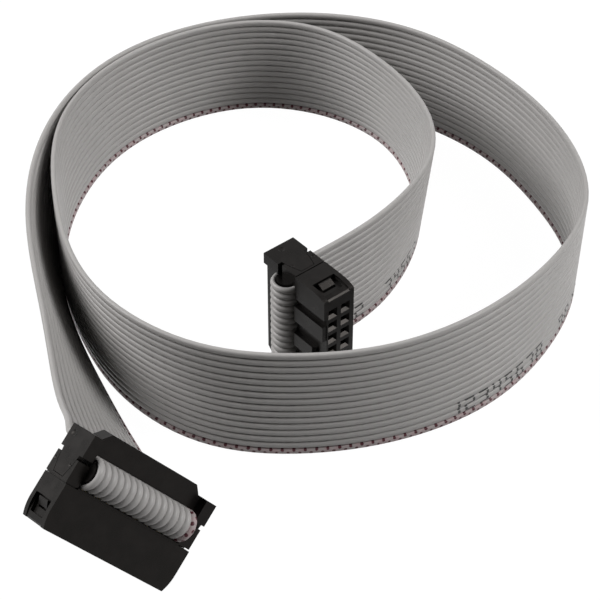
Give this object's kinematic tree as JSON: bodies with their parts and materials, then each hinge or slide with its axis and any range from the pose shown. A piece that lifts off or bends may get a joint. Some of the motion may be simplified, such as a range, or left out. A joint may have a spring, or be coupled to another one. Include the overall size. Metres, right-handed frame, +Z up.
{
  "type": "ribbon cable",
  "caption": "Grey flat ribbon cable lying in an open coil on its edge, with a black crimp-on socket and strain relief at each end.",
  "frame": {"origin": "on the floor, in the middle of the box around the two connectors together", "axes": "+Z up from the surface the cable lies on, +Y from the outer connector towards the far side of the coil, +X to the right of +Y seen from above; the coil lies mostly on the +Y side"},
  "size_m": [0.0938, 0.1288, 0.0288],
  "materials": {
    "connector_plastic": "moulded, faintly textured",
    "ribbon_insulation": "ridged soft vinyl, satin",
    "tinned_copper": "stranded, tinned",
    "contact_metal": "stamped strip"
  },
  "bodies": {
    "root": {"socket_body_a": "connector_plastic", "cover_a": "connector_plastic", "strain_relief_a": "connector_plastic", "socket_body_b": "connector_plastic", "cover_b": "connector_plastic", "strain_relief_b": "connector_plastic", "ribbon": "ribbon_insulation", "ribbon_end_a": "ribbon_insulation", "ribbon_end_b": "ribbon_insulation", "conductors_a": "tinned_copper", "conductors_b": "tinned_copper", "contact_a_01": "contact_metal", "contact_a_02": "contact_metal", "contact_a_03": "contact_metal", "contact_a_04": "contact_metal", "contact_a_05": "contact_metal", "contact_a_06": "contact_metal", "contact_a_07": "contact_metal", "contact_a_08": "contact_metal", "contact_a_09": "contact_metal", "contact_a_10": "contact_metal", "contact_a_11": "contact_metal", "contact_a_12": "contact_metal", "contact_a_13": "contact_metal", "contact_a_14": "contact_metal", "contact_a_15": "contact_metal", "contact_a_16": "contact_metal", "contact_b_01": "contact_metal", "contact_b_02": "contact_metal", "contact_b_03": "contact_metal", "contact_b_04": "contact_metal", "contact_b_05": "contact_metal", "contact_b_06": "contact_metal", "contact_b_07": "contact_metal", "contact_b_08": "contact_metal", "contact_b_09": "contact_metal", "contact_b_10": "contact_metal", "contact_b_11": "contact_metal", "contact_b_12": "contact_metal", "contact_b_13": "contact_metal", "contact_b_14": "contact_metal", "contact_b_15": "contact_metal", "contact_b_16": "contact_metal"}
  },
  "joints": []
}
